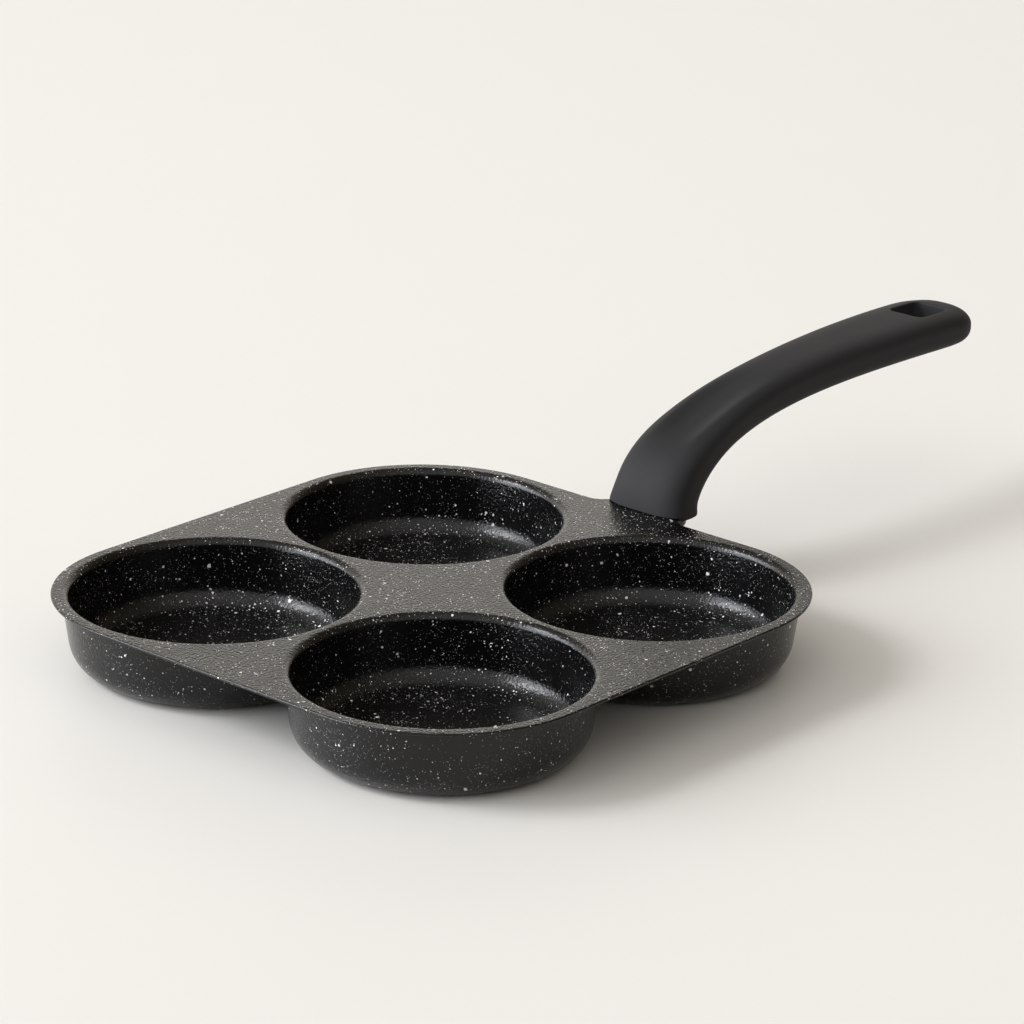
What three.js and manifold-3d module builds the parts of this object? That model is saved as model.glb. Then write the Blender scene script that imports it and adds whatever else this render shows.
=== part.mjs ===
import * as THREE from 'three';
import { mergeVertices } from 'three/addons/utils/BufferGeometryUtils.js';
import Module from 'manifold-3d';

// Four-cup egg pan. One cast body has a flat deck with four round cups sunk into it and a tab on
// one side. A curved handle stands on the tab, held by two screws from below that bite into brass
// inserts in its foot. Millimetres, +Z up, handle along +X. The deck's top is at Z = 0 and the middle
// of the four cups at X = Y = 0 until the last lines, which set the pan down with its cups on Z = 0.

const wasm = await Module();
wasm.setup();
const degrees = THREE.MathUtils.degToRad;

// Cups
const cupPitch = 95.2; // between the axes of neighbouring cups
const rimRadius = 47.1; // where the rim's rounding meets the deck
const rimFillet = 2.5;
const cupDepth = 21.3; // from the deck's top to the cup's floor
const wallDraft = degrees(8);
const wallThickness = 2.3;
const floorThickness = 3.5;
const floorFillet = 7; // inside, from wall to floor
const baseFillet = 10.8; // outside, from wall to base

// Deck
const deckThickness = 1.5;
const lipThickness = 0.9; // the deck is thinned to a lip along its edge
const lipReach = 1;
const lipRounding = 0.4;
const flangeRadius = 50.3; // round corners of the deck, about the cups' axes

// Tab and the thickened seat under it
const tabFillet = 6.5; // hollow corners between tab and deck
const tabCorner = 8; // round outer corners
const seatDepth = 2.5;
const seatInset = 1.1; // seat's edge inside the tab's edge
const seatRun = 12; // seat's length under the deck

// Handle spine, a cubic curve in the plane Y = 0 from the foot to the tip
const footSetback = 8.5; // foot's middle beyond the deck's straight edge
const footLean = degrees(80); // the foot's direction, above level
const footPull = 31; // how far the curve holds the foot's direction
const handleReach = 162.5; // foot's middle to the tip, along X
const tipRise = 29.4; // tip above the deck
const tipDroop = degrees(2.4);
const tipPull = 84; // how far the curve holds the tip's direction

// Handle sections
const footWidth = 31.8; // at the deck
const footFlare = 2.2; // how much of it the flare at the deck adds
const flareHeight = 6.4;
const waistWidth = 24.8;
const waistAt = 60; // distance along the spine
const gripWidth = 30.5;
const footDepth = 16.6;
const neckDepth = 12.1;
const neckAt = 37.5; // distance along the spine
const gripDepth = 12.4;
const footSquareness = 3; // 2 is an ellipse, more is squarer
const gripSquareness = 3.6;
const tipPlanLength = 15; // rounding of the tip, from above
const tipPlanSquareness = 2.15;
const tipSideLength = 8; // rounding of the tip, from the side
const tipSideSquareness = 2;

// Skirt of the foot, which reaches down over the tab's edge
const skirtThickness = 1.5;
const skirtDepth = 1.2; // below the deck's top
const skirtClearance = 0.3; // from the tab's edge

// Thumb hollow on the bend
const hollowStart = 13; // distances along the spine
const hollowDeepest = 29;
const hollowEnd = 72;
const hollowDepth = 2;
const hollowWidth = 18;

// Hanging slot
const slotInset = 20.5; // slot's middle from the tip
const slotLength = 16.6;
const slotWidth = 14;
const slotCorner = 2.5;

// Screws, washers and inserts
const screwSpacing = 15;
const screwForward = 0.6; // screws beyond the foot's middle
const screwDiameter = 4;
const screwLength = 12;
const screwChamfer = 0.5;
const headDiameter = 7.6;
const headHeight = 2.7;
const headRounding = 1.6;
const recessLength = 4.2; // cross recess
const recessWidth = 1;
const recessDepth = 1.6;
const holeClearance = 0.3; // screw in the tab, all round
const washerClearance = 0.2; // screw in the washers, all round
const threadClearance = 0.15; // screw in the insert, all round
const flatWasherDiameter = 8.6;
const flatWasherThickness = 0.8;
const springWasherDiameter = 7.4;
const springWasherThickness = 1;
const springWasherSplit = 0.8;
const springWasherSlant = degrees(20);
const insertDiameter = 6;
const insertLength = 8;
const insertGrooveDepth = 0.5;
const insertGrooveLength = 2;
const insertClearance = 0.2; // insert in its pocket
const contactGap = 0.1; // between faces that are pressed together

// Facets
const cupFacets = 40;
const filletFacets = 4;
const rimFacets = 3;
const cornerFacets = 9;
const edgeFacets = 2;
const boltFacets = 16;
const handleRings = 25;
const tipRings = 8;
const handleFacets = 28;
const overcut = 5; // how far cutting shapes run past the faces they cut
const weld = 1e-4; // points closer than this are one

// Places that follow from the sizes
const cupOffset = cupPitch / 2;
const deckHalf = cupOffset + flangeRadius;
const footX = deckHalf + footSetback;
const footRun = footDepth / Math.sin(footLean); // the foot's depth along the deck
const tabHalf = footWidth / 2 - skirtThickness - skirtClearance;
const tabEnd = footX + footRun / 2 - skirtThickness - skirtClearance;
const seatBottom = -deckThickness - seatDepth;
const screwX = footX + screwForward;

// Finishes
const coating = { color: 0x1d1c1d, roughness: 0.42, metalness: 0.1 };
const phenolic = { color: 0x232225, roughness: 0.55, metalness: 0 };
const zincSteel = { color: 0xb9bcc0, roughness: 0.35, metalness: 1 };
const springSteel = { color: 0x55585c, roughness: 0.4, metalness: 1 };
const brass = { color: 0xb58c46, roughness: 0.35, metalness: 1 };

// Closed triangle mesh to solid. Shared points are merged, and triangles that shrink to a line dropped.
function toSolid(geometry) {
  geometry.deleteAttribute('normal');
  geometry.deleteAttribute('uv');
  const merged = mergeVertices(geometry, weld);
  const corners = merged.index.array;
  const triangles = [];
  for (let i = 0; i < corners.length; i += 3) {
    const [a, b, c] = corners.slice(i, i + 3);
    if (a !== b && b !== c && c !== a) triangles.push(a, b, c);
  }
  const vertProperties = new Float32Array(merged.attributes.position.array);
  const triVerts = new Uint32Array(triangles);
  const solid = new wasm.Manifold(new wasm.Mesh({ numProp: 3, vertProperties, triVerts }));
  if (solid.volume() > 0) return solid;
  triVerts.reverse();
  return new wasm.Manifold(new wasm.Mesh({ numProp: 3, vertProperties, triVerts }));
}

function toMesh(name, solid, finish) {
  const { vertProperties, triVerts } = solid.getMesh();
  const geometry = new THREE.BufferGeometry();
  geometry.setAttribute('position', new THREE.BufferAttribute(vertProperties, 3));
  geometry.setIndex(new THREE.BufferAttribute(triVerts, 1));
  geometry.computeVertexNormals();
  const mesh = new THREE.Mesh(geometry, new THREE.MeshStandardMaterial(finish));
  mesh.name = name;
  return mesh;
}

// Solid of revolution about Z from [radius, height] points
function turned(points, facets) {
  const profile = points.map(([radius, height]) => new THREE.Vector2(radius, height));
  return toSolid(new THREE.LatheGeometry(profile, facets).rotateX(Math.PI / 2));
}

function turnedRing(inner, outer, bottom, top, facets) {
  const corners = [[inner, bottom], [outer, bottom], [outer, top], [inner, top], [inner, bottom]];
  return turned(corners, facets);
}

function cylinder(radius, bottom, top, facets) {
  return turned([[0, bottom], [radius, bottom], [radius, top], [0, top]], facets);
}

function block(length, width, height) {
  return toSolid(new THREE.BoxGeometry(length, width, height));
}

// Points of an arc, from one angle to the other
function arc(centreX, centreY, radius, from, to, facets) {
  return Array.from({ length: facets + 1 }, (_, i) => {
    const angle = THREE.MathUtils.lerp(from, to, i / facets);
    return [centreX + radius * Math.cos(angle), centreY + radius * Math.sin(angle)];
  });
}

function extruded(shape, depth) {
  const settings = { depth, bevelEnabled: false, curveSegments: cornerFacets };
  return toSolid(new THREE.ExtrudeGeometry(shape, settings));
}

function roundedRectangle(length, width, corner) {
  const x = length / 2 - corner;
  const y = width / 2 - corner;
  const shape = new THREE.Shape();
  shape.absarc(x, y, corner, 0, Math.PI / 2);
  shape.absarc(-x, y, corner, Math.PI / 2, Math.PI);
  shape.absarc(-x, -y, corner, Math.PI, 1.5 * Math.PI);
  shape.absarc(x, -y, corner, 1.5 * Math.PI, 2 * Math.PI);
  shape.closePath();
  return shape;
}

// Pan body

// Radius of the centre of a fillet that runs from a level at the given height into the leaning wall
function filletCentre(wallRadius, wallHeight, height, fillet) {
  const rise = height + fillet - wallHeight;
  return wallRadius + (rise * Math.sin(wallDraft) - fillet) / Math.cos(wallDraft);
}

// The wall's inner face leaves the rim's rounding here, and its outer face lies square across from there.
const wallInner = [
  rimRadius - rimFillet * Math.cos(wallDraft),
  rimFillet * (Math.sin(wallDraft) - 1),
];
const wallOuter = [
  wallInner[0] + wallThickness * Math.cos(wallDraft),
  wallInner[1] - wallThickness * Math.sin(wallDraft),
];
const baseHeight = -cupDepth - floorThickness;

function cupOutside() {
  const centre = filletCentre(...wallOuter, baseHeight, baseFillet);
  const top = -deckThickness / 2;
  const topRadius = wallOuter[0] + (top - wallOuter[1]) * Math.tan(wallDraft);
  return turned([
    [0, baseHeight],
    ...arc(centre, baseHeight + baseFillet, baseFillet, -Math.PI / 2, -wallDraft, filletFacets),
    [topRadius, top],
    [0, top],
  ], cupFacets);
}

function cupInside() {
  const centre = filletCentre(...wallInner, -cupDepth, floorFillet);
  return turned([
    [0, -cupDepth],
    ...arc(centre, floorFillet - cupDepth, floorFillet, -Math.PI / 2, -wallDraft, filletFacets),
    ...arc(rimRadius, -rimFillet, rimFillet, Math.PI - wallDraft, Math.PI / 2, rimFacets),
    [rimRadius, overcut],
    [0, overcut],
  ], cupFacets);
}

// A square with round corners about the cups' axes, and the tab on its +X side, grown all round
function deckOutline(growth) {
  const fillet = Math.min(tabFillet, tabEnd - deckHalf - tabCorner);
  const hollowX = deckHalf + fillet;
  const hollowY = tabHalf + fillet;
  const hollow = fillet - growth;
  const endX = tabEnd - tabCorner;
  const endY = tabHalf - tabCorner;
  const end = tabCorner + growth;
  const corner = flangeRadius + growth;
  const quarter = Math.PI / 2;
  const shape = new THREE.Shape();
  shape.absarc(cupOffset, -cupOffset, corner, -quarter, 0);
  shape.absarc(hollowX, -hollowY, hollow, Math.PI, quarter, true);
  shape.absarc(endX, -endY, end, -quarter, 0);
  shape.absarc(endX, endY, end, 0, quarter);
  shape.absarc(hollowX, hollowY, hollow, -quarter, -Math.PI, true);
  shape.absarc(cupOffset, cupOffset, corner, 0, quarter);
  shape.absarc(-cupOffset, cupOffset, corner, quarter, Math.PI);
  shape.absarc(-cupOffset, -cupOffset, corner, Math.PI, 3 * quarter);
  shape.closePath();
  return shape;
}

// The lip spans the whole outline, and the full thickness starts a little inside it.
function deckPlate() {
  const lip = new THREE.ExtrudeGeometry(deckOutline(0), {
    depth: lipThickness - 2 * lipRounding,
    bevelThickness: lipRounding,
    bevelSize: lipRounding,
    bevelOffset: -lipRounding,
    bevelSegments: edgeFacets,
    curveSegments: cornerFacets,
  });
  const core = extruded(deckOutline(-lipReach), deckThickness - lipThickness / 2);
  return toSolid(lip).translate(0, 0, lipRounding - lipThickness).add(core.translate(0, 0, -deckThickness));
}

// Pad under the tab that carries the screws, running back under the deck between two cups
function handleSeat() {
  const start = deckHalf - seatRun;
  const end = tabEnd - seatInset;
  const outline = roundedRectangle(end - start, 2 * (tabHalf - seatInset), tabCorner - seatInset);
  const pad = extruded(outline, seatDepth + deckThickness / 2);
  return pad.translate((start + end) / 2, 0, seatBottom);
}

function panBody() {
  const corners = [[-1, -1], [-1, 1], [1, -1], [1, 1]];
  const outside = cupOutside();
  const inside = cupInside();
  const hole = cylinder(screwDiameter / 2 + holeClearance, seatBottom - overcut, overcut, boltFacets);
  let body = deckPlate().add(handleSeat());
  for (const [x, y] of corners) {
    const place = [x * cupOffset, y * cupOffset, 0];
    body = body.add(outside.translate(place)).subtract(inside.translate(place));
  }
  for (const side of [-1, 1]) body = body.subtract(hole.translate(screwX, side * screwSpacing / 2, 0));
  return body;
}

// Handle

const spine = new THREE.CubicBezierCurve(
  new THREE.Vector2(footX, 0),
  new THREE.Vector2(footX + footPull * Math.cos(footLean), footPull * Math.sin(footLean)),
  new THREE.Vector2(
    footX + handleReach - tipPull * Math.cos(tipDroop),
    tipRise + tipPull * Math.sin(tipDroop),
  ),
  new THREE.Vector2(footX + handleReach, tipRise),
);
const spineLength = spine.getLength();

function ease(from, to, distance, start, end) {
  return THREE.MathUtils.lerp(from, to, THREE.MathUtils.smoothstep(distance, start, end));
}

function sectionWidth(distance) {
  const flare = footFlare * THREE.MathUtils.clamp(1 - distance / flareHeight, 0, 1) ** 2;
  if (distance < waistAt) return flare + ease(footWidth - footFlare, waistWidth, distance, 0, waistAt);
  return ease(waistWidth, gripWidth, distance, waistAt, spineLength - slotInset);
}

function sectionDepth(distance) {
  if (distance < neckAt) return ease(footDepth, neckDepth, distance, 0, neckAt);
  return ease(neckDepth, gripDepth, distance, neckAt, spineLength - slotInset);
}

// Share of the full section that is left near the tip, from 1 down to 0
function tipShare(distance, length, squareness) {
  const along = Math.max(0, distance - spineLength + length) / length;
  return Math.max(0, 1 - along ** squareness) ** (1 / squareness);
}

function hollowShare(distance, across) {
  const rise = THREE.MathUtils.smoothstep(distance, hollowStart, hollowDeepest);
  const fall = 1 - THREE.MathUtils.smoothstep(distance, hollowDeepest, hollowEnd);
  const side = Math.max(0, 1 - (2 * across / hollowWidth) ** 2);
  return rise * fall * side ** 2;
}

function signedPower(value, power) {
  return Math.sign(value) * Math.abs(value) ** power;
}

// One ring of points around the spine. A distance below zero runs straight on past the foot.
function handleRing(distance) {
  const share = THREE.MathUtils.clamp(distance / spineLength, 0, 1);
  const middle = spine.getPointAt(share);
  const tangent = spine.getTangentAt(share);
  middle.addScaledVector(tangent, Math.min(0, distance));
  const halfWidth = sectionWidth(distance) / 2 * tipShare(distance, tipPlanLength, tipPlanSquareness);
  const halfDepth = sectionDepth(distance) / 2 * tipShare(distance, tipSideLength, tipSideSquareness);
  const power = 2 / ease(footSquareness, gripSquareness, distance, 0, waistAt);
  return Array.from({ length: handleFacets }, (_, i) => {
    const angle = 2 * Math.PI * i / handleFacets;
    const across = halfWidth * signedPower(Math.cos(angle), power);
    let up = halfDepth * signedPower(Math.sin(angle), power);
    if (up > 0) up -= hollowDepth * hollowShare(distance, across);
    return [middle.x - up * tangent.y, across, middle.y + up * tangent.x];
  });
}

// Rings from below the foot to the tip, closer together where the tip is rounded
function handleLoft() {
  const tipLength = Math.max(tipPlanLength, tipSideLength);
  const plain = spineLength - tipLength;
  const distances = [-footRun];
  for (let i = 0; i < handleRings; i++) distances.push(plain * i / handleRings);
  for (let i = 0; i < tipRings; i++) {
    distances.push(plain + tipLength * Math.sin(Math.PI / 2 * i / tipRings));
  }
  const rings = distances.map(handleRing);
  const tip = spine.getPointAt(1);
  const start = spine.getPointAt(0).addScaledVector(spine.getTangentAt(0), distances[0]);
  const points = [...rings.flat(), [start.x, 0, start.y], [tip.x, 0, tip.y]];
  const [bottomIndex, tipIndex] = [points.length - 2, points.length - 1];
  const triangles = [];
  for (let j = 0; j < handleFacets; j++) {
    const next = (j + 1) % handleFacets;
    triangles.push(bottomIndex, next, j);
    for (let i = 0; i < rings.length - 1; i++) {
      const [low, high] = [i * handleFacets, (i + 1) * handleFacets];
      triangles.push(low + j, low + next, high + next, low + j, high + next, high + j);
    }
    const last = (rings.length - 1) * handleFacets;
    triangles.push(last + j, last + next, tipIndex);
  }
  const geometry = new THREE.BufferGeometry();
  geometry.setAttribute('position', new THREE.Float32BufferAttribute(points.flat(), 3));
  geometry.setIndex(triangles);
  return toSolid(geometry);
}

function hangingSlot() {
  const share = 1 - slotInset / spineLength;
  const middle = spine.getPointAt(share);
  const tilt = spine.getTangentAt(share).angle();
  const depth = gripDepth + 2 * overcut;
  return extruded(roundedRectangle(slotLength, slotWidth, slotCorner), depth)
    .translate(0, 0, -depth / 2)
    .rotate(0, -THREE.MathUtils.radToDeg(tilt), 0)
    .translate(middle.x, 0, middle.y);
}

// The foot stands on the deck and the tab, and its skirt is cut clear of the tab's edge.
function handle() {
  const belowFoot = block(2 * footRun + overcut, footWidth + overcut, 2 * footRun)
    .translate(footX, 0, -skirtDepth - footRun);
  const tabRoom = extruded(deckOutline(skirtClearance), footRun)
    .translate(0, 0, contactGap - footRun);
  const pocket = cylinder(
    insertDiameter / 2 + insertClearance,
    -overcut,
    contactGap + insertLength + insertClearance,
    boltFacets,
  );
  let body = handleLoft().subtract(belowFoot).subtract(tabRoom).subtract(hangingSlot());
  for (const side of [-1, 1]) body = body.subtract(pocket.translate(screwX, side * screwSpacing / 2, 0));
  return body;
}

// Fasteners, each standing on its own axis with the seat's underside at the height that it bears on

const flatWasherBottom = seatBottom - contactGap - flatWasherThickness;
const springWasherBottom = flatWasherBottom - contactGap - springWasherThickness;
const headTop = springWasherBottom - contactGap;
const washerBore = screwDiameter / 2 + washerClearance;

function flatWasher() {
  const top = flatWasherBottom + flatWasherThickness;
  return turnedRing(washerBore, flatWasherDiameter / 2, flatWasherBottom, top, boltFacets);
}

function springWasher() {
  const top = springWasherBottom + springWasherThickness;
  const split = block(springWasherDiameter, springWasherSplit, 2 * springWasherThickness + overcut)
    .rotate(THREE.MathUtils.radToDeg(springWasherSlant), 0, 0)
    .translate(springWasherDiameter / 2, 0, (springWasherBottom + top) / 2);
  const ring = turnedRing(washerBore, springWasherDiameter / 2, springWasherBottom, top, boltFacets);
  return ring.subtract(split);
}

function handleScrew() {
  const radius = screwDiameter / 2;
  const headRadius = headDiameter / 2;
  const headBottom = headTop - headHeight;
  const roundingAt = headRadius - headRounding;
  const end = headTop + screwLength;
  const screw = turned([
    [0, headBottom],
    ...arc(roundingAt, headBottom + headRounding, headRounding, -Math.PI / 2, 0, filletFacets),
    [headRadius, headTop],
    [radius, headTop],
    [radius, end - screwChamfer],
    [radius - screwChamfer, end],
    [0, end],
  ], boltFacets);
  const bar = block(recessLength, recessWidth, 2 * recessDepth).translate(0, 0, headBottom);
  return screw.subtract(bar).subtract(bar.rotate(0, 0, 90));
}

function threadedInsert() {
  const bore = screwDiameter / 2 + threadClearance;
  const outer = insertDiameter / 2;
  const waist = outer - insertGrooveDepth;
  const bottom = contactGap;
  const top = bottom + insertLength;
  const grooveBottom = (bottom + top - insertGrooveLength) / 2;
  const grooveTop = grooveBottom + insertGrooveLength;
  return turned([
    [bore, bottom],
    [outer, bottom],
    [outer, grooveBottom],
    [waist, grooveBottom],
    [waist, grooveTop],
    [outer, grooveTop],
    [outer, top],
    [bore, top],
    [bore, bottom],
  ], boltFacets);
}

// Assembly

const pan = new THREE.Group();
pan.add(toMesh('pan_body', panBody(), coating));
pan.add(toMesh('handle', handle(), phenolic));

const fasteners = [
  ['flat_washer', flatWasher(), zincSteel],
  ['spring_washer', springWasher(), springSteel],
  ['handle_screw', handleScrew(), zincSteel],
  ['threaded_insert', threadedInsert(), brass],
];
for (const [sideName, side] of [['left', 1], ['right', -1]]) {
  const stack = new THREE.Group();
  stack.position.set(screwX, side * screwSpacing / 2, 0);
  for (const [name, solid, finish] of fasteners) stack.add(toMesh(`${name}_${sideName}`, solid, finish));
  pan.add(stack);
}

// The origin is the middle of the pan's footprint, on the surface that the cups stand on.
const extent = new THREE.Box3().setFromObject(pan);
pan.position.set(-(extent.min.x + extent.max.x) / 2, 0, -baseHeight);

const eggPan = new THREE.Group();
eggPan.add(pan);

export default eggPan;
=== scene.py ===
import math

import bmesh
import bpy
from mathutils import Matrix, Vector
from mathutils.geometry import delaunay_2d_cdt


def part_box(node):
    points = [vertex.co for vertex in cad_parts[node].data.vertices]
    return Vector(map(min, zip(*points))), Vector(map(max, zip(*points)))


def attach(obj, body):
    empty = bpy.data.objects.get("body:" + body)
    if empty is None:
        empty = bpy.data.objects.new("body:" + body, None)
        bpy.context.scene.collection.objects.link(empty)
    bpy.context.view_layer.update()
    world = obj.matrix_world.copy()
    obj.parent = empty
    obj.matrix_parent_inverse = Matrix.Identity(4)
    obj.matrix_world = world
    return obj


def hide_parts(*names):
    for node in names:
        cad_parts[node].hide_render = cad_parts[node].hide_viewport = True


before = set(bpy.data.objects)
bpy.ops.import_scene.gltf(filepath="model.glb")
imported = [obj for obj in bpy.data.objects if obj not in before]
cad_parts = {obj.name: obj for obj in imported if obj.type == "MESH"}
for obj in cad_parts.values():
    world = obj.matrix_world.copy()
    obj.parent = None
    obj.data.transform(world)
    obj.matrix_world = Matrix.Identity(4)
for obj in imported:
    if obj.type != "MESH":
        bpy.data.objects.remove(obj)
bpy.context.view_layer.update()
print("frame loaded:", sorted(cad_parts))

mm = 0.001
quarter = math.pi / 2
weld = 1e-7  # metres, points closer than this become one
fillWeld = 1e-6  # millimetres, the same for a flat fill
fillInside = 1  # a flat fill keeps only the triangles inside its loops


def lerp(a, b, t):
    return a + (b - a) * t


def ease(a, b, x, start, end):
    t = min(1, max(0, (x - start) / (end - start)))
    return lerp(a, b, t * t * (3 - 2 * t))


def arc(cx, cy, radius, start, end, steps):
    turns = [lerp(start, end, i / steps) for i in range(steps + 1)]
    return [(cx + radius * math.cos(t), cy + radius * math.sin(t)) for t in turns]


def circle(cx, cy, radius, steps):
    return arc(cx, cy, radius, 0, 2 * math.pi * (1 - 1 / steps), steps - 1)


def roundedBox(cx, cy, length, width, corner, steps):
    x, y = length / 2 - corner, width / 2 - corner
    loop = []
    for i, (sx, sy) in enumerate(((1, 1), (-1, 1), (-1, -1), (1, -1))):
        loop += arc(cx + sx * x, cy + sy * y, corner, i * quarter, (i + 1) * quarter, steps)
    return loop


def inside(point, loop):
    hit = False
    for (ax, ay), (bx, by) in zip(loop, loop[1:] + loop[:1]):
        if (ay > point[1]) != (by > point[1]):
            if point[0] < ax + (point[1] - ay) * (bx - ax) / (by - ay):
                hit = not hit
    return hit


# points and faces of one piece in millimetres, put together row by row
class Skin:
    def __init__(self):
        self.points, self.faces = [], []

    def row(self, points):
        first = len(self.points)
        self.points += [tuple(p) for p in points]
        return list(range(first, len(self.points)))

    def level(self, loop, z):
        return self.row([(x, y, z) for x, y in loop])

    def join(self, *rows):
        for low, high in zip(rows, rows[1:]):
            for i in range(len(low)):
                n = (i + 1) % len(low)
                self.faces.append((low[i], low[n], high[n], high[i]))

    def cap(self, row, point):
        tip = self.row([point])[0]
        for i in range(len(row)):
            self.faces.append((row[i], row[(i + 1) % len(row)], tip))

    # triangles between an outer loop and the holes in it, over loose points where there are some
    def fill(self, loops, loose=(), flat=None):
        ids = [i for loop in loops for i in loop] + list(loose)
        flat = flat or {i: self.points[i][:2] for i in ids}
        place = {i: k for k, i in enumerate(ids)}
        edges = [(place[a], place[b]) for loop in loops for a, b in zip(loop, loop[1:] + loop[:1])]
        spread = delaunay_2d_cdt([Vector(flat[i]) for i in ids], edges, [], fillInside, fillWeld)
        holes = [[flat[i] for i in loop] for loop in loops[1:]]
        for face in spread[2]:
            middle = sum((spread[0][i] for i in face), Vector((0, 0))) / len(face)
            if not any(inside(middle, hole) for hole in holes):
                self.faces.append([ids[spread[3][i][0]] for i in face])


def makePiece(name, skin, slotName, nodes, place, crease):
    mesh = bpy.data.meshes.new(name)
    mesh.from_pydata([Vector(p) * mm + place for p in skin.points], [], skin.faces)
    shape = bmesh.new()
    shape.from_mesh(mesh)
    bmesh.ops.remove_doubles(shape, verts=shape.verts, dist=weld)
    bmesh.ops.dissolve_degenerate(shape, edges=shape.edges, dist=weld)
    bmesh.ops.recalc_face_normals(shape, faces=shape.faces)
    for edge in shape.edges:
        edge.smooth = edge.calc_face_angle(0) < crease
    for face in shape.faces:
        face.smooth = True
    openEdges = sum(not edge.is_manifold for edge in shape.edges)
    shape.to_mesh(mesh)
    shape.free()
    mesh.materials.append(finishes[slotName])
    piece = bpy.data.objects.new(name, mesh)
    bpy.context.scene.collection.objects.link(piece)
    soft = piece.modifiers.new("evenShading", "WEIGHTED_NORMAL")
    soft.keep_sharp = True
    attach(piece, "root")
    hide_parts(*nodes)
    print(name, "faces:", len(mesh.polygons), "open edges:", openEdges)
    return piece


# a socket that takes part in sums, each of which adds a Math node
class Wire:
    def __init__(self, look, socket):
        self.look, self.socket = look, socket

    def sum(self, operation, a, b, clamp=False):
        settings = {"operation": operation, "use_clamp": clamp}
        return self.look.add("Math", settings, {0: a, 1: b})["Value"]

    def __add__(self, other):
        return self.sum("ADD", self, other)

    def __radd__(self, other):
        return self.sum("ADD", other, self)

    def __sub__(self, other):
        return self.sum("SUBTRACT", self, other)

    def __rsub__(self, other):
        return self.sum("SUBTRACT", other, self)

    def __mul__(self, other):
        return self.sum("MULTIPLY", self, other)

    def __rmul__(self, other):
        return self.sum("MULTIPLY", other, self)

    def __lt__(self, other):
        return self.sum("LESS_THAN", self, other)

    def __gt__(self, other):
        return self.sum("GREATER_THAN", self, other)

    def clamped(self):
        return self.sum("MULTIPLY", self, 1, clamp=True)


# the node tree of a material or of the world
class Look:
    def __init__(self, name, owner=None):
        self.owner = owner or bpy.data.materials.new(name)
        self.owner.use_nodes = True
        self.tree = self.owner.node_tree
        self.tree.nodes.clear()

    # any node: its settings come first, then the values or links of its sockets
    def add(self, kind, settings=None, sockets=None):
        node = self.tree.nodes.new("ShaderNode" + kind)
        for key, value in (settings or {}).items():
            setattr(node, key, value)
        for key, value in (sockets or {}).items():
            if isinstance(key, int):
                socket = node.inputs[key]
            else:
                socket = next(s for s in node.inputs if s.name == key and s.enabled)
            if isinstance(value, Wire):
                self.tree.links.new(value.socket, socket)
            else:
                socket.default_value = value
        return {s.name: Wire(self, s) for s in node.outputs if s.enabled}

    def mix(self, factor, a, b):
        return self.add("Mix", {"data_type": "RGBA"}, {"Factor": factor, "A": a, "B": b})["Result"]

    def vectors(self, operation, a, b, output="Vector"):
        return self.add("VectorMath", {"operation": operation}, {0: a, 1: b})[output]

    # grain holds the noise's scale, per metre, and its detail
    def noise(self, place, grain, output="Fac"):
        scale, detail = grain
        return self.add("TexNoise", {}, {"Vector": place, "Scale": scale, "Detail": detail})[output]

    def bump(self, height, distance):
        sockets = {"Height": height, "Strength": 1.0, "Distance": distance}
        return self.add("Bump", {}, sockets)["Normal"]

    def finish(self, sockets):
        shader = self.add("BsdfPrincipled", {}, sockets)["BSDF"]
        self.add("OutputMaterial", {}, {"Surface": shader})
        return self.owner


# stone-effect coating: nearly black, with specks of several sizes that lie in patches
coating = {
    "ground": (0.0006, 0.0006, 0.0007, 1),
    "groundPale": (0.0020, 0.0020, 0.0021, 1),
    "cloud": (190.0, 4.0),  # here and below: noise scale per metre, detail
    "roughness": 0.20,
    "roughnessSpread": 0.06,
    "ior": 1.42,
    # cells per metre, share of cells with a speck, largest radius in cells, brightness,
    # share of the specks that upright walls keep, so walls carry fewer than the deck and floors
    "specks": [
        (2300, 0.28, 0.34, 0.30, 0.80),
        (1400, 0.18, 0.31, 0.85, 0.36),
        (850, 0.16, 0.27, 0.95, 0.38),
        (430, 0.11, 0.23, 0.95, 0.58),
        (250, 0.09, 0.17, 0.95, 0.80),
    ],
    "dashes": (420, 0.06, 0.15, 0.95, 0.70),
    "dashTurns": [(0.5, 0.35, 0.65), (2.1, 1.47, 2.73)],
    "dashSqueeze": (1, 0.34, 1),
    "smallest": 0.45,  # size of the smallest speck, against the largest of its kind
    "dimmest": 0.55,  # brightness of the dimmest, against the brightest
    "dimmestDash": 0.4,
    "warmth": 0.01,
    "sharpness": 32,
    "tear": (2200.0, 1.0),  # ragged edges of the specks
    "tearReach": 0.0005,
    "patches": (85.0, 2.0),  # specks lie thicker in some places than in others
    "patchContrast": 2.2,
    "grain": (1050, 2.0),
    "grainHeight": 0.00024,
    "grainOnWalls": 0.65,  # share of the grain that upright walls keep
    "speckRise": 0.12,
}


def speckMask(look, place, cells, share, radius):
    cellSockets = {"Vector": place, "Scale": cells, "Randomness": 1.0}
    spots = look.add("TexVoronoi", {"feature": "F1"}, cellSockets)
    luck = look.add("SeparateColor", {}, {"Color": spots["Color"]})
    size = radius * lerp(coating["smallest"], 1, luck["Green"])
    spot = ((size - spots["Distance"]) * coating["sharpness"]).clamped()
    return spot * (luck["Red"] < share), luck["Blue"]


def speckColour(brightness):
    warmth = coating["warmth"]
    return (brightness * (1 + warmth), brightness, brightness * (1 - warmth), 1)


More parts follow.
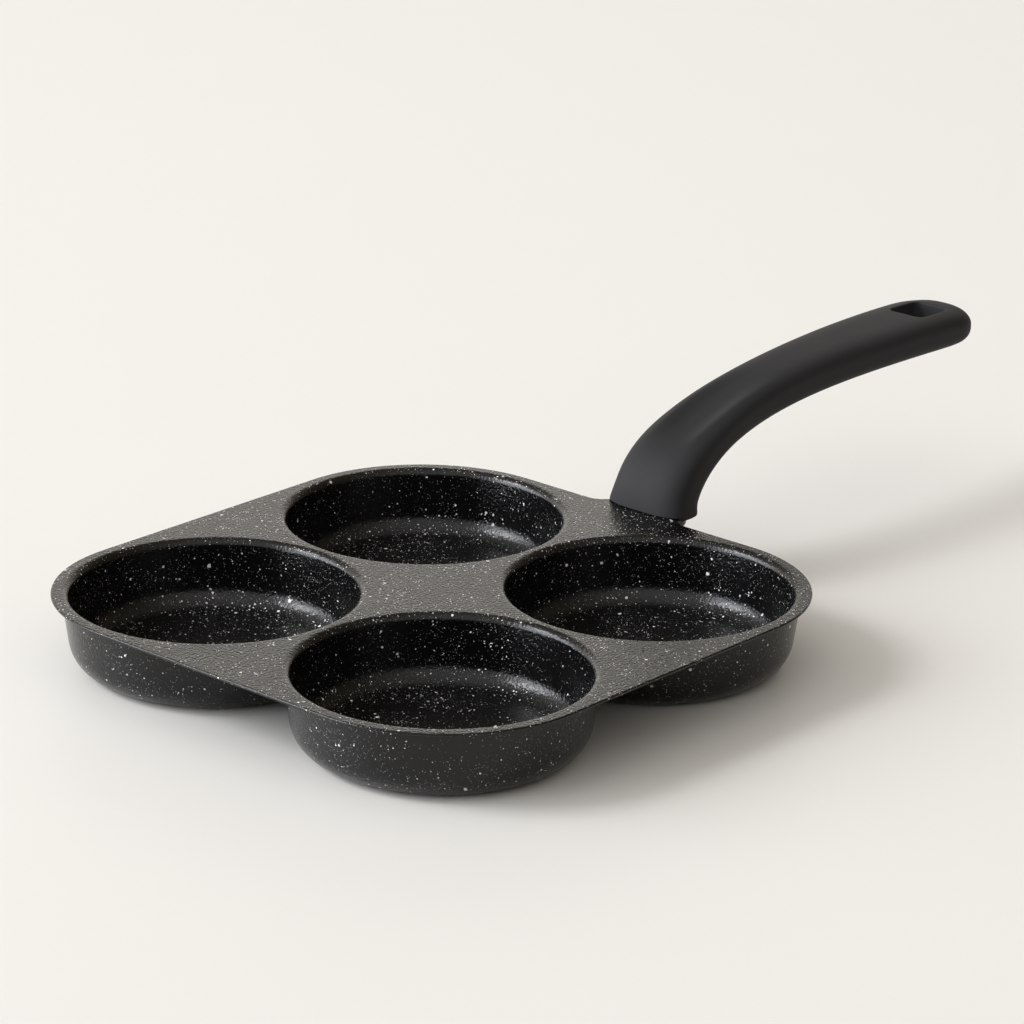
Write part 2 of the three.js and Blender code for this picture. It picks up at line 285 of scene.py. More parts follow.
def stoneCoating():
    look = Look("stoneCoating")
    place = look.add("TexCoord")["Object"]
    ragged = look.vectors("SUBTRACT", look.noise(place, coating["tear"], "Color"), (0.5, 0.5, 0.5))
    ragged = look.vectors("MULTIPLY", ragged, (coating["tearReach"],) * 3)
    torn = look.vectors("ADD", place, ragged)
    cloud = look.noise(place, coating["cloud"])
    fine = look.noise(place, coating["grain"])
    contrast = coating["patchContrast"]
    crowd = look.noise(place, coating["patches"]) * contrast - (contrast - 1) / 2
    crowd = crowd.clamped() * 2  # about 1 on average
    upright = look.add("SeparateXYZ", {}, {"Vector": look.add("NewGeometry")["Normal"]})["Z"]
    lying = upright * upright  # 1 on the deck and the floors, near 0 on the walls
    colour = look.mix(cloud, coating["ground"], coating["groundPale"])
    raised = (fine - 0.5) * lerp(coating["grainOnWalls"], 1, lying)
    for cells, share, radius, bright, kept in coating["specks"]:
        mask, luck = speckMask(look, torn, cells, share * crowd * lerp(kept, 1, lying), radius)
        colour = look.mix(mask * lerp(coating["dimmest"], 1, luck), colour, speckColour(bright))
        raised = raised + mask * coating["speckRise"]
    cells, share, radius, bright, kept = coating["dashes"]
    for turn in coating["dashTurns"]:
        stretch = {"Vector": torn, "Rotation": turn, "Scale": coating["dashSqueeze"]}
        drawn = look.add("Mapping", {}, stretch)["Vector"]
        mask, luck = speckMask(look, drawn, cells, share * crowd * lerp(kept, 1, lying), radius)
        colour = look.mix(mask * lerp(coating["dimmestDash"], 1, luck), colour, speckColour(bright))
    rough = coating["roughness"] + coating["roughnessSpread"] * (cloud - 0.5)
    bump = look.bump(raised, coating["grainHeight"])
    return look.finish({"Base Color": colour, "Roughness": rough, "Normal": bump, "IOR": coating["ior"]})


# moulded handle: matte charcoal with a fine spark-eroded grain
plastic = {
    "dark": (0.018, 0.0177, 0.019, 1),
    "pale": (0.027, 0.0265, 0.028, 1),
    "cloud": (70.0, 5.0),
    "cloudShare": 0.6,
    "grain": (3800, 2.0),
    "grainHeight": 0.00002,
    "roughness": 0.6,
    "cloudRoughness": 0.10,
    "grainRoughness": 0.08,
    "ior": 1.23,
}


def handlePlastic():
    look = Look("handlePlastic")
    place = look.add("TexCoord")["Object"]
    cloud = look.noise(place, plastic["cloud"])
    grain = look.noise(place, plastic["grain"])
    share = plastic["cloudShare"]
    colour = look.mix(share * cloud + (1 - share) * grain, plastic["dark"], plastic["pale"])
    rough = plastic["roughness"] + plastic["cloudRoughness"] * (cloud - 0.5)
    rough = rough + plastic["grainRoughness"] * (grain - 0.5)
    bump = look.bump(grain, plastic["grainHeight"])
    return look.finish({"Base Color": colour, "Roughness": rough, "Normal": bump, "IOR": plastic["ior"]})


# turned metal of the fasteners, with fine streaks round their axis
metal = {
    "streak": (1500.0, 3.0),
    "streakSqueeze": (1, 1, 5),
    "streakShare": 0.5,
    "streakHeight": 0.00001,
    "streakRoughness": 0.2,
    "stain": (320.0, 4.0),
    # pale, dark, roughness
    "zinc": ((0.62, 0.63, 0.65, 1), (0.42, 0.43, 0.45, 1), 0.34),
    "spring": ((0.24, 0.25, 0.27, 1), (0.12, 0.12, 0.13, 1), 0.42),
    "brass": ((0.71, 0.55, 0.27, 1), (0.50, 0.37, 0.16, 1), 0.35),
}


def turnedMetal(name, pale, dark, roughness):
    look = Look(name)
    place = look.add("TexCoord")["Object"]
    drawn = look.add("Mapping", {}, {"Vector": place, "Scale": metal["streakSqueeze"]})["Vector"]
    streak = look.noise(drawn, metal["streak"])
    stain = look.noise(place, metal["stain"])
    share = metal["streakShare"]
    colour = look.mix(share * streak + (1 - share) * stain, dark, pale)
    rough = roughness + metal["streakRoughness"] * (streak - 0.5)
    bump = look.bump(streak, metal["streakHeight"])
    return look.finish({"Base Color": colour, "Roughness": rough, "Normal": bump, "Metallic": 1.0})


finishes = {
    "stone_coating": stoneCoating(),
    "handle_plastic": handlePlastic(),
    "zinc_steel": turnedMetal("zincSteel", *metal["zinc"]),
    "spring_steel": turnedMetal("springSteel", *metal["spring"]),
    "insert_brass": turnedMetal("insertBrass", *metal["brass"]),
}
print("finishes made:", len(finishes))

# the cast pan in millimetres, deck top at z = 0 and the middle of the four cups at x = y = 0
pan = {
    "cupPitch": 95.2,
    "rimRadius": 47.1,
    "rimFillet": 2.5,
    "cupDepth": 21.3,
    "draft": math.radians(8),
    "wall": 2.3,
    "floor": 3.5,
    "floorFillet": 7.0,  # inside, from wall to floor
    "baseFillet": 10.8,  # outside, from wall to base
    "rootFillet": 0.4,  # under the deck, where a cup's wall leaves it
    "deck": 1.5,
    "lip": 0.9,  # the deck is thinned to a lip along its edge
    "lipReach": 1.0,
    "edge": 0.44,
    "flangeRadius": 50.3,
    "tabHalf": 14.1,
    "tabEnd": 113.03,
    "tabFillet": 6.5,
    "tabCorner": 8.0,
    "seatDepth": 2.5,
    "seatInset": 1.1,
    "seatRun": 12.0,
    "seatEdge": 0.5,
    "screwX": 107.0,
    "screwSpacing": 15.0,
    "holeRadius": 2.3,
    "support": 0.4,  # flat rows beside the roundings keep the deck's shading level
    "turnedPitch": 2.4,  # shallow turned rings on the cup bases
    "turnedWidth": 1.44,
    "turnedDepth": 0.12,
    "turnedLeast": 4.8,  # least outer radius of a ring
    # rows of faces between two roundings, as shares of the way
    "insideRows": (0.08, 0.36, 0.64, 0.92),
    "floorRows": (0.975, 0.8, 0.6, 0.4, 0.2),
    "outsideRows": (0.08, 0.5, 0.92),
    "cupSteps": 128,
    "filletSteps": 12,
    "cornerSteps": 40,
    "edgeSteps": 6,
    "holeSteps": 32,
    "seatSteps": 12,
    "crease": math.radians(38),
}

cupOffset = pan["cupPitch"] / 2
deckHalf = cupOffset + pan["flangeRadius"]
baseHeight = -pan["cupDepth"] - pan["floor"]
seatBottom = -pan["deck"] - pan["seatDepth"]
panOrigin = Vector((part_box("pan_body")[0].x + deckHalf * mm, 0, -baseHeight * mm))
cupCentres = [(sx * cupOffset, sy * cupOffset) for sx in (-1, 1) for sy in (-1, 1)]
screwPlaces = [(pan["screwX"], side * pan["screwSpacing"] / 2) for side in (-1, 1)]


# radius of the centre of a fillet between a level and the leaning wall
def filletCentre(wallRadius, wallHeight, height, fillet):
    rise = height + fillet - wallHeight
    return wallRadius + (rise * math.sin(pan["draft"]) - fillet) / math.cos(pan["draft"])


def between(start, end, shares):
    return [(lerp(start[0], end[0], t), lerp(start[1], end[1], t)) for t in shares]


# radius and height of a cup's inner face, from the rim to the middle of the floor
def cupInside(wallTop):
    draft, rim, fillet, depth = pan["draft"], pan["rimFillet"], pan["floorFillet"], pan["cupDepth"]
    centre = filletCentre(*wallTop, -depth, fillet)
    bottom = arc(centre, fillet - depth, fillet, -draft, -quarter, pan["filletSteps"])
    line = [(pan["rimRadius"] + pan["support"], 0)]
    line += arc(pan["rimRadius"], -rim, rim, quarter, math.pi - draft, pan["filletSteps"])
    line += between(wallTop, bottom[0], pan["insideRows"])
    line += bottom
    line += [(centre * t, -depth) for t in pan["floorRows"]]
    return line


# the same for its outer face, from under the deck to the middle of the base
def cupOutside(wallTop):
    draft, root, fillet = pan["draft"], pan["rootFillet"], pan["baseFillet"]
    rootZ = -pan["deck"] - root
    rootX = wallTop[0] + (rootZ - wallTop[1]) * math.tan(draft) + root / math.cos(draft)
    centre = filletCentre(*wallTop, baseHeight, fillet)
    base = arc(centre, baseHeight + fillet, fillet, -draft, -quarter, pan["filletSteps"])
    line = arc(rootX, rootZ, root, quarter, math.pi - draft, pan["edgeSteps"])
    line += between(line[-1], base[0], pan["outsideRows"])
    line += base
    width = pan["turnedWidth"]
    radius = centre - pan["turnedPitch"]
    while radius > pan["turnedLeast"]:
        groove = (radius - width / 2, baseHeight + pan["turnedDepth"])
        line += [(radius, baseHeight), groove, (radius - width, baseHeight)]
        radius -= pan["turnedPitch"]
    return line


def cupProfiles():
    draft, rim, wall = pan["draft"], pan["rimFillet"], pan["wall"]
    inner = (pan["rimRadius"] - rim * math.cos(draft), rim * (math.sin(draft) - 1))
    outer = (inner[0] + wall * math.cos(draft), inner[1] - wall * math.sin(draft))
    return cupInside(inner), cupOutside(outer)


# the deck's edge line: round corners about the cups' axes, and the tab on the +X side
def deckOutline(growth):
    steps, fillet, end = pan["cornerSteps"], pan["tabFillet"], pan["tabCorner"]
    hollowX, hollowY = deckHalf + fillet, pan["tabHalf"] + fillet
    endX, endY = pan["tabEnd"] - end, pan["tabHalf"] - end
    corner = pan["flangeRadius"] + growth
    few = steps // 2
    line = arc(cupOffset, -cupOffset, corner, -quarter, 0, steps)
    line += arc(hollowX, -hollowY, fillet - growth, math.pi, quarter, few)
    line += arc(endX, -endY, end + growth, -quarter, 0, few)
    line += arc(endX, endY, end + growth, 0, quarter, few)
    line += arc(hollowX, hollowY, fillet - growth, -quarter, -math.pi, few)
    line += arc(cupOffset, cupOffset, corner, 0, quarter, steps)
    line += arc(-cupOffset, cupOffset, corner, quarter, math.pi, steps)
    line += arc(-cupOffset, -cupOffset, corner, math.pi, 3 * quarter, steps)
    return line


# rows round the deck's edge, from the top over the lip to the underside
def deckRim(skin, turns):
    edge, deck, lip, reach = pan["edge"], pan["deck"], pan["lip"], pan["lipReach"]
    step = (deck - lip) / 2
    rows = [(-edge - pan["support"], 0)]
    rows += [(edge * math.sin(t) - edge, edge * math.cos(t) - edge) for t in turns]
    rows += [(edge * math.cos(t) - edge, edge - lip - edge * math.sin(t)) for t in turns]
    rows.append((step - reach, -lip))
    rows += [(step - reach - step * math.sin(t), step * (math.cos(t) - 1) - lip) for t in turns[1:]]
    rows.append((-reach, -deck))
    return [skin.level(deckOutline(growth), z) for growth, z in rows]


# rows down the pad under the tab that carries the screws
def handleSeat(skin, turns):
    start, end = deckHalf - pan["seatRun"], pan["tabEnd"] - pan["seatInset"]
    width = 2 * (pan["tabHalf"] - pan["seatInset"])
    corner = pan["tabCorner"] - pan["seatInset"]
    bevel = pan["seatEdge"]
    rows = [(0, -pan["deck"])]
    rows += [(bevel * (math.cos(t) - 1), seatBottom + bevel * (1 - math.sin(t))) for t in turns]
    levels = []
    for growth, z in rows:
        length = end - start + 2 * growth
        size = (length, width + 2 * growth, corner + growth)
        levels.append(skin.level(roundedBox((start + end) / 2, 0, *size, pan["seatSteps"]), z))
    return levels


def castPan():
    skin = Skin()
    inner, outer = cupProfiles()
    turns = [quarter * i / pan["edgeSteps"] for i in range(pan["edgeSteps"] + 1)]
    rim = deckRim(skin, turns)
    skin.join(*rim)
    mouths, roots = [], []
    for cx, cy in cupCentres:
        for profile, edges in ((inner, mouths), (outer, roots)):
            rows = [skin.level(circle(cx, cy, radius, pan["cupSteps"]), z) for radius, z in profile]
            skin.join(*rows)
            skin.cap(rows[-1], (cx, cy, profile[-1][1]))
            edges.append(rows[0])
    holesTop, holesBottom = [], []
    for x, y in screwPlaces:
        ring = circle(x, y, pan["holeRadius"], pan["holeSteps"])
        holesTop.append(skin.level(ring, 0))
        holesBottom.append(skin.level(ring, seatBottom))
        skin.join(holesTop[-1], holesBottom[-1])
    seat = handleSeat(skin, turns)
    skin.join(*seat)
    skin.fill([rim[0]] + mouths + holesTop)
    skin.fill([rim[-1]] + roots + [seat[0]])
    skin.fill([seat[-1]] + holesBottom)
    return skin


makePiece("cast_pan", castPan(), "stone_coating", ["pan_body"], panOrigin, pan["crease"])

# the moulded handle in millimetres, along a curved spine from the foot to the tip
grip = {
    "footX": 106.4,
    "footLean": math.radians(80),
    "footPull": 31.0,
    "reach": 162.5,
    "tipRise": 29.4,
    "tipDroop": math.radians(2.4),
    "tipPull": 84.0,
    "footWidth": 31.8,
    "footFlare": 2.2,
    "flareHeight": 6.4,
    "waistWidth": 24.8,
    "waistAt": 60.0,
    "gripWidth": 30.5,
    "footDepth": 16.6,
    "neckDepth": 12.1,
    "neckAt": 37.5,
    "gripDepth": 12.4,
    "footSquareness": 3.0,  # 2 is an ellipse, more is squarer
    "gripSquareness": 3.6,
    "tipSquareness": 2.3,
    "tipSofter": (20.0, 2.0),  # from the tip, where the section turns from boxy to oval
    "tipPlanLength": 15.0,
    "tipPlanSquareness": 2.15,
    "tipSideLength": 8.0,
    "tipSideSquareness": 2.0,
    "skirt": 1.5,
    "skirtDepth": 1.2,
    "skirtFrom": (101.3, 103.3),  # where the foot's edge leaves the deck and hangs over the tab
    "skirtRounding": 1.2,
    "frontRounding": 0.35,
    "contact": 0.1,
    "footJoin": 9.0,  # from here along the spine every row is square to it
    "hollowStart": 13.0,
    "hollowDeepest": 29.0,
    "hollowEnd": 72.0,
    "hollowDepth": 2.0,
    "hollowWidth": 18.0,
    "slotInset": 20.5,
    "slotLength": 16.6,
    "slotWidth": 14.0,
    "slotCorner": 2.5,
    "slotLip": 0.6,
    "mouthMargin": (2.5, 1.6),  # face that is filled anew round the slot's lip
    "mouthClear": 0.5,  # and how near its loose points come to the lip
    "pocketRadius": 3.2,
    "pocketTop": 8.3,
    "columns": 128,
    "columnSamples": 4000,
    "spineSteps": 1200,
    "rowPitch": 1.7,
    "tipRows": 16,
    "footRows": 8,
    "footSearch": (-8.0, 12.0),  # distances along the spine between which the foot ends
    "halvings": 40,
    "lipSteps": 6,
    "cornerSteps": 10,
    "crease": math.radians(50),
}


# distance run, place and heading at even steps of the spine's cubic curve
def spineTable():
    foot = Vector((grip["footX"], 0))
    tip = Vector((grip["footX"] + grip["reach"], grip["tipRise"]))
    lean, droop, steps = grip["footLean"], grip["tipDroop"], grip["spineSteps"]
    a = foot + grip["footPull"] * Vector((math.cos(lean), math.sin(lean)))
    b = tip - grip["tipPull"] * Vector((math.cos(droop), -math.sin(droop)))
    table, run, last = [], 0, foot
    for i in range(steps + 1):
        t = i / steps
        u = 1 - t
        here = u ** 3 * foot + 3 * u * u * t * a + 3 * u * t * t * b + t ** 3 * tip
        heading = (u * u * (a - foot) + 2 * u * t * (b - a) + t * t * (tip - b)).normalized()
        run += (here - last).length
        table.append((run, here, heading))
        last = here
    return table


spine = spineTable()
spineLength = spine[-1][0]


def spineAt(distance):
    if distance <= 0:
        return spine[0][1] + distance * spine[0][2], spine[0][2]
    low, high = 0, len(spine) - 1
    while high - low > 1:
        half = (low + high) // 2
        if spine[half][0] < distance:
            low = half
        else:
            high = half
    (startRun, start, startHeading), (endRun, end, endHeading) = spine[low], spine[high]
    t = min(1, (distance - startRun) / (endRun - startRun))
    return start.lerp(end, t), startHeading.lerp(endHeading, t).normalized()


# share of the full section that is left near the tip, from 1 down to 0
def tipShare(distance, length, squareness):
    along = max(0, distance - spineLength + length) / length
    return max(0, 1 - along ** squareness) ** (1 / squareness)


# half width, half depth and squareness of the handle at a distance along the spine
def section(distance):
    waistAt, neckAt = grip["waistAt"], grip["neckAt"]
    gripAt = spineLength - grip["slotInset"]
    if distance < waistAt:
        width = ease(grip["footWidth"] - grip["footFlare"], grip["waistWidth"], distance, 0, waistAt)
        width += grip["footFlare"] * min(1, max(0, 1 - distance / grip["flareHeight"])) ** 2
    else:
        width = ease(grip["waistWidth"], grip["gripWidth"], distance, waistAt, gripAt)
    if distance < neckAt:
        depth = ease(grip["footDepth"], grip["neckDepth"], distance, 0, neckAt)
    else:
        depth = ease(grip["neckDepth"], grip["gripDepth"], distance, neckAt, gripAt)
    width *= tipShare(distance, grip["tipPlanLength"], grip["tipPlanSquareness"])
    depth *= tipShare(distance, grip["tipSideLength"], grip["tipSideSquareness"])
    square = ease(grip["footSquareness"], grip["gripSquareness"], distance, 0, waistAt)
    soften = [spineLength - fromTip for fromTip in grip["tipSofter"]]
    return width / 2, depth / 2, ease(square, grip["tipSquareness"], distance, *soften)


# depth of the thumb hollow
def hollow(distance, across):
    rise = ease(0, 1, distance, grip["hollowStart"], grip["hollowDeepest"])
    fall = ease(1, 0, distance, grip["hollowDeepest"], grip["hollowEnd"])
    side = max(0, 1 - abs(2 * across / grip["hollowWidth"]) ** 3)
    return grip["hollowDepth"] * rise * fall * side * side


def gripPoint(distance, across, up):
    middle, heading = spineAt(distance)
    return (middle.x - up * heading.y, across, middle.y + up * heading.x)


# point of a rounded box's outline at an angle
def boxyPoint(angle, halfWidth, halfDepth, square):
    c, s = math.cos(angle), math.sin(angle)
    across = halfWidth * math.copysign(abs(c) ** (2 / square), c)
    return across, halfDepth * math.copysign(abs(s) ** (2 / square), s)


def ringPlace(distance, angle):
    across, up = boxyPoint(angle, *section(distance))
    return across, up - (hollow(distance, across) if up > 0 else 0)


def ringPoint(distance, angle):
    return gripPoint(distance, *ringPlace(distance, angle))


# distance along the spine at which a column of the foot passes a height
def footDistance(angle, height):
    low, high = grip["footSearch"]
    for _ in range(grip["halvings"]):
        half = (low + high) / 2
        if ringPoint(half, angle)[2] < height:
            low = half
        else:
            high = half
    return low


# angles that space the columns evenly round the grip's section
def evenColumns():
    count, samples = grip["columns"], grip["columnSamples"]
    full = (grip["gripWidth"] / 2, grip["gripDepth"] / 2, grip["gripSquareness"])
    run, marks, last = 0, [], None
    for i in range(samples + 1):
        angle = 2 * math.pi * i / samples
        here = Vector(boxyPoint(angle, *full))
        run += (here - last).length if last else 0
        marks.append((run, angle))
        last = here
    angles, k = [], 0
    for j in range(count):
        goal = run * j / count
        while marks[k + 1][0] < goal:
            k += 1
        t = (goal - marks[k][0]) / (marks[k + 1][0] - marks[k][0])
        angles.append(lerp(marks[k][1], marks[k + 1][1], t))
    return angles


def slotLoop(growth):
    length, width = grip["slotLength"] + 2 * growth, grip["slotWidth"] + 2 * growth
    return roundedBox(0, 0, length, width, grip["slotCorner"] + growth, grip["cornerSteps"])


# rows of the rounded lip of the hanging slot, from the grip's face inwards
def slotLip(skin, slotAt, side):
    lip, steps = grip["slotLip"], grip["lipSteps"]
    rows = []
    for step in range(steps + 1):
        turn = quarter * step / steps
        points = []
        for x, y in slotLoop(lip * (1 - math.sin(turn))):
            halfWidth, halfDepth, square = section(slotAt + x)
            height = halfDepth * (1 - abs(y / halfWidth) ** square) ** (1 / square)
            points.append(gripPoint(slotAt + x, y, side * (height - lip * (1 - math.cos(turn)))))
        rows.append(skin.row(points))
    return rows


# one mouth of the slot: its lip, and the grip's face round it filled anew
def slotMouth(skin, rows, distances, angles, side):
    slotAt, lip = spineLength - grip["slotInset"], grip["slotLip"]
    lipReach, lipWide = grip["slotLength"] / 2 + lip, grip["slotWidth"] / 2 + lip
    reach, wide = lipReach + grip["mouthMargin"][0], lipWide + grip["mouthMargin"][1]
    i0 = max(i for i, d in enumerate(distances) if d < slotAt - reach)
    i1 = min(i for i, d in enumerate(distances) if d > slotAt + reach)
    facing = [j for j, angle in enumerate(angles) if math.sin(angle) * side > 0]
    picked = [j for j in facing if abs(ringPlace(slotAt, angles[j])[0]) < wide]
    j0, j1 = picked[0], picked[-1]
    flat, loose = {}, []
    clear = grip["mouthClear"]
    for i in range(i0, i1 + 1):
        for j in range(j0, j1 + 1):
            across = ringPlace(distances[i], angles[j])[0]
            flat[rows[i][j]] = (distances[i], across)
            if i0 < i < i1 and j0 < j < j1:
                if abs(distances[i] - slotAt) > lipReach + clear or abs(across) > lipWide + clear:
                    loose.append(rows[i][j])
    border = [rows[i0][j] for j in range(j0, j1)] + [rows[i][j1] for i in range(i0, i1)]
    border += [rows[i1][j] for j in range(j1, j0, -1)] + [rows[i][j0] for i in range(i1, i0, -1)]
    lipRows = slotLip(skin, slotAt, side)
    flat.update({p: (slotAt + x, y) for p, (x, y) in zip(lipRows[0], slotLoop(lip))})
    skin.join(*lipRows)
    skin.fill([border, lipRows[0]], loose, flat)
    return lipRows[-1], (range(i0, i1), range(j0, j1))


def drawnIn(point, inset, height):
    inward = Vector((grip["footX"] - point[0], -point[1])).normalized() * inset
    return (point[0] + inward.x, point[1] + inward.y, height)


# rows from inside the skirt round the foot's lower edge, for columns of angle, height and rounding
def footEdge(skin, bottoms):
    sides = [ringPoint(footDistance(a, h), a) for a, h, r in bottoms]
    inner = [drawnIn(point, grip["skirt"], grip["contact"]) for point in sides]
    rows = [skin.row(inner)]
    rows.append(skin.row([(x, y, h) for (x, y, z), (a, h, r) in zip(inner, bottoms)]))
    for step in range(grip["lipSteps"] + 1):
        turn = quarter * step / grip["lipSteps"]
        points = []
        for angle, height, rounding in bottoms:
            z = height + rounding * (1 - math.cos(turn))
            side = ringPoint(footDistance(angle, z), angle)
            points.append(drawnIn(side, rounding * (1 - math.sin(turn)), z))
        rows.append(skin.row(points))
    return rows


def mouldedHandle():
    skin = Skin()
    angles = evenColumns()
    contact, joined = grip["contact"], grip["footJoin"]
    bottoms = []
    for angle in angles:
        x = ringPoint(footDistance(angle, contact), angle)[0]
        hang = ease(0, 1, x, *grip["skirtFrom"])
        height = lerp(contact, -grip["skirtDepth"], hang)
        bottoms.append((angle, height, lerp(grip["frontRounding"], grip["skirtRounding"], hang)))
    rows = footEdge(skin, bottoms)
    skin.join(*rows)
    start = [footDistance(a, h + r) for a, h, r in bottoms]
    footRows = [rows[-1]]
    for step in range(1, grip["footRows"]):
        t = step / grip["footRows"]
        footRows.append(skin.row([ringPoint(lerp(s, joined, t), a) for s, a in zip(start, angles)]))
    tipLength = max(grip["tipPlanLength"], grip["tipSideLength"])
    plain = spineLength - tipLength
    count, tipRows = round((plain - joined) / grip["rowPitch"]), grip["tipRows"]
    distances = [lerp(joined, plain, i / count) for i in range(count)]
    distances += [plain + tipLength * math.sin(quarter * i / tipRows) for i in range(tipRows)]
    rings = [skin.row([ringPoint(d, a) for a in angles]) for d in distances]
    skin.join(*footRows, rings[0])
    mouths = [slotMouth(skin, rings, distances, angles, side) for side in (1, -1)]
    skin.join(*(lipRow for lipRow, cut in mouths))
    for i, (low, high) in enumerate(zip(rings, rings[1:])):
        for j in range(len(angles)):
            if not any(i in cutRows and j in cutColumns for lipRow, (cutRows, cutColumns) in mouths):
                n = (j + 1) % len(angles)
                skin.faces.append((low[j], low[n], high[n], high[j]))
    tip = spineAt(spineLength)[0]
    skin.cap(rings[-1], (tip.x, 0, tip.y))
    pockets = []
    for x, y in screwPlaces:
        ring = circle(x, y, grip["pocketRadius"], pan["holeSteps"])
        pockets.append(skin.level(ring, contact))
        top = skin.level(ring, grip["pocketTop"])
        skin.join(pockets[-1], top)
        skin.cap(top, (x, y, grip["pocketTop"]))
    skin.fill([rows[0]] + pockets)
    return skin


makePiece("moulded_handle", mouldedHandle(), "handle_plastic", ["handle"], panOrigin, grip["crease"])

# screws and washers under the tab, each on its own axis
fasteners = {
    "contact": 0.1,
    "washerBore": 2.2,
    "flatWasher": (4.3, 0.8),  # radius, thickness
    "springWasher": (3.7, 1.0),
    "springGap": math.radians(7),
    "springSlant": 0.18,
    "chamfer": 0.12,
    "shank": 2.0,
    "length": 12.0,
    "tipChamfer": 0.5,
    "head": (3.8, 2.7, 1.6),  # radius, height, rounding
    "headMiddle": 0.4,
    "recess": (4.2, 1.0, 1.6, 0.72),  # length, width, depth, share of the width left at the far end
    "steps": 50,  # no edge runs through a corner of the cross recess
    "roundingSteps": 10,
    "crease": math.radians(38),
}


def lathe(profile, loop=False):
    skin = Skin()
    rows = [skin.level(circle(0, 0, radius, fasteners["steps"]), z) for radius, z in profile]
    skin.join(*rows)
    if loop:
        skin.join(rows[-1], rows[0])
    else:
        skin.cap(rows[0], (0, 0, profile[0][1]))
        skin.cap(rows[-1], (0, 0, profile[-1][1]))
    return skin


def washerProfile(radius, bottom, top):
    bore, c = fasteners["washerBore"], fasteners["chamfer"]
    return [
        (bore, bottom + c), (bore + c, bottom), (radius - c, bottom), (radius, bottom + c),
        (radius, top - c), (radius - c, top), (bore + c, top), (bore, top - c),
    ]


# split ring whose cut leans
def springRing(bottom):
    radius, thick = fasteners["springWasher"]
    gap, steps = fasteners["springGap"], fasteners["steps"]
    profile = washerProfile(radius, bottom, bottom + thick)
    skin = Skin()
    rows = []
    for i in range(steps + 1):
        turn = lerp(gap, 2 * math.pi - gap, i / steps)
        points = []
        for r, z in profile:
            lean = turn + fasteners["springSlant"] * ((z - bottom) / thick - 0.5)
            points.append((r * math.cos(lean), r * math.sin(lean), z))
        rows.append(skin.row(points))
    skin.join(*rows)
    skin.faces += [rows[0], rows[-1]]
    return skin


# tapered cross that cuts a screw's recess
def recessBlade(bottom, place):
    length, width, depth, taper = fasteners["recess"]
    blade = Skin()
    cross = [(length / 2, -width / 2), (length / 2, width / 2), (width / 2, width / 2)]
    for _ in range(3):
        cross += [(-y, x) for x, y in cross[-3:]]  # the next arm, a quarter turn on
    low = blade.level(cross, bottom - depth)
    high = blade.level([(x * taper, y * taper) for x, y in cross], bottom + depth)
    blade.join(low, high)
    blade.faces += [low, high]
    mesh = bpy.data.meshes.new("blade")
    mesh.from_pydata([Vector(p) * mm + place for p in blade.points], [], blade.faces)
    shape = bmesh.new()
    shape.from_mesh(mesh)
    bmesh.ops.recalc_face_normals(shape, faces=shape.faces)
    shape.to_mesh(mesh)
    shape.free()
    cutter = bpy.data.objects.new("blade", mesh)
    bpy.context.scene.collection.objects.link(cutter)
    return cutter


def cutRecess(piece, bottom, place):
    cutter = recessBlade(bottom, place)
    shading = piece.modifiers["evenShading"]
    shading.show_viewport = False  # only the cut goes into the mesh
    cut = piece.modifiers.new("crossRecess", "BOOLEAN")
    cut.object, cut.operation, cut.solver = cutter, "DIFFERENCE", "EXACT"
    piece.modifiers.move(len(piece.modifiers) - 1, 0)
    bpy.context.view_layer.update()
    evaluated = piece.evaluated_get(bpy.context.evaluated_depsgraph_get())
    finished = bpy.data.meshes.new_from_object(evaluated)
    piece.modifiers.remove(cut)
    piece.data = finished
    bpy.data.objects.remove(cutter)
    shading.show_viewport = True


def driveScrews():
    gap, soft, shank = fasteners["contact"], fasteners["chamfer"], fasteners["shank"]
    flatRadius, flatThick = fasteners["flatWasher"]
    springThick = fasteners["springWasher"][1]
    headRadius, headHeight, rounding = fasteners["head"]
    flatTop = seatBottom - gap
    springTop = flatTop - flatThick - gap
    headTop = springTop - springThick - gap
    headBottom, end = headTop - headHeight, headTop + fasteners["length"]
    screw = [(fasteners["headMiddle"], headBottom)]
    centre = (headRadius - rounding, headBottom + rounding)
    screw += arc(*centre, rounding, -quarter, 0, fasteners["roundingSteps"])
    screw += [(headRadius, headTop - soft), (headRadius - soft, headTop), (shank, headTop)]
    screw += [(shank, end - fasteners["tipChamfer"]), (shank - fasteners["tipChamfer"], end)]
    flat = washerProfile(flatRadius, flatTop - flatThick, flatTop)
    for sideName, (x, y) in zip(("right", "left"), screwPlaces):
        place = panOrigin + Vector((x, y, 0)) * mm
        made = (place, fasteners["crease"])
        washer, spring = lathe(flat, loop=True), springRing(springTop - springThick)
        makePiece(f"washer_{sideName}", washer, "zinc_steel", [f"flat_washer_{sideName}"], *made)
        makePiece(f"lock_ring_{sideName}", spring, "spring_steel", [f"spring_washer_{sideName}"], *made)
        nodes = [f"handle_screw_{sideName}"]
        driven = makePiece(f"screw_{sideName}", lathe(screw), "zinc_steel", nodes, *made)
        cutRecess(driven, headBottom, place)


driveScrews()

for sideName in ("left", "right"):
    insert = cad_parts[f"threaded_insert_{sideName}"]
    insert.data.materials.clear()
    insert.data.materials.append(finishes["insert_brass"])
print("fasteners made")

# pale worktop
worktop = {
    "radius": 2.6,
    "sides": 96,
    "pale": (0.805, 0.786, 0.755, 1),
    "dark": (0.78, 0.762, 0.73, 1),
    "cloud": (9.0, 5.0),
    "cloudShare": 0.7,
    "grain": (900.0, 2.0),
    "roughness": 0.5,
    "roughnessSpread": 0.08,
    "ior": 1.45,
}


